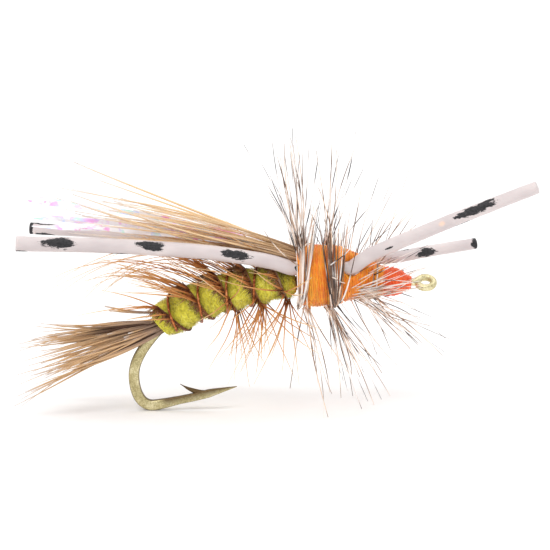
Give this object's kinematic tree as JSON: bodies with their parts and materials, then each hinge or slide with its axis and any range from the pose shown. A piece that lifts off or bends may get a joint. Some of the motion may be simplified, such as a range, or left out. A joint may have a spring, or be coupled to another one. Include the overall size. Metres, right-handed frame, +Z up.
{
  "type": "dry fly",
  "caption": "Floating trout fly on a curved hook: hair wing and tail, ribbed olive abdomen, orange thorax, wound hackles and barred rubber legs.",
  "frame": {"origin": "on the surface the fly stands on, under the middle of its bounding box", "axes": "+X towards the hook eye, +Z up, -Y the fly's right side; the hook lies in the XZ plane"},
  "size_m": [0.0459, 0.0263, 0.0254],
  "materials": {
    "hook": "bronzed wire, glossy",
    "tan_thread": "waxed thread",
    "orange_thread": "waxed thread",
    "olive_dubbing": "fuzzy dubbed fur",
    "orange_dubbing": "stranded floss",
    "copper_wire": "bright copper wire",
    "elk_hair": "natural hair",
    "brown_feather": "feather",
    "grizzly_feather": "barred feather",
    "pearl_flash": "pearl film",
    "white_rubber": "satin, black bars"
  },
  "bodies": {
    "body": {"hook": "hook", "thread_underbody": "tan_thread", "tail_thread_band": "tan_thread", "abdomen_dubbing": "olive_dubbing", "rib_wire": "copper_wire", "body_hackle": "brown_feather", "wing_thread_band": "orange_thread", "wing_butts": "elk_hair", "thorax_core": "orange_dubbing", "thorax_rear": "orange_dubbing", "thorax_middle": "orange_dubbing", "thorax_front": "orange_dubbing", "collar_hackle_rear": "grizzly_feather", "collar_hackle_front": "grizzly_feather", "leg_strand_right": "white_rubber", "leg_strand_left": "white_rubber", "leg_thread_rear": "orange_thread", "leg_thread_front": "orange_thread", "thread_head": "orange_thread", "whip_finish": "orange_thread", "tail_tuft_1": "elk_hair", "tail_tuft_2": "elk_hair", "tail_tuft_3": "elk_hair", "tail_tuft_4": "elk_hair", "wing_tuft_1": "elk_hair", "wing_tuft_2": "elk_hair", "wing_tuft_3": "elk_hair", "wing_tuft_4": "elk_hair", "wing_tuft_5": "elk_hair", "flash_1": "pearl_flash", "flash_2": "pearl_flash", "flash_3": "pearl_flash", "flash_4": "pearl_flash", "flash_5": "pearl_flash", "flash_6": "pearl_flash"},
    "leg_rear_right": {"leg_rear_right": "white_rubber"},
    "leg_front_right": {"leg_front_right": "white_rubber"},
    "leg_rear_left": {"leg_rear_left": "white_rubber"},
    "leg_front_left": {"leg_front_left": "white_rubber"}
  },
  "joints": [
    {"name": "swing_rear_right", "type": "hinge", "parent": "body", "child": "leg_rear_right", "pos_m": [0.00182, -0.00148, 0.01292], "axis": [0, 0, 1], "range_deg": [-2, 25], "stiffness_Nm_per_rad": 0.00004},
    {"name": "swing_front_right", "type": "hinge", "parent": "body", "child": "leg_front_right", "pos_m": [0.00698, -0.00148, 0.01292], "axis": [0, 0, -1], "range_deg": [-2, 25], "stiffness_Nm_per_rad": 0.00004},
    {"name": "swing_rear_left", "type": "hinge", "parent": "body", "child": "leg_rear_left", "pos_m": [0.00193, 0.00148, 0.01292], "axis": [0, 0, -1], "range_deg": [-2, 25], "stiffness_Nm_per_rad": 0.00004},
    {"name": "swing_front_left", "type": "hinge", "parent": "body", "child": "leg_front_left", "pos_m": [0.00687, 0.00148, 0.01292], "axis": [0, 0, 1], "range_deg": [-2, 25], "stiffness_Nm_per_rad": 0.00004}
  ]
}
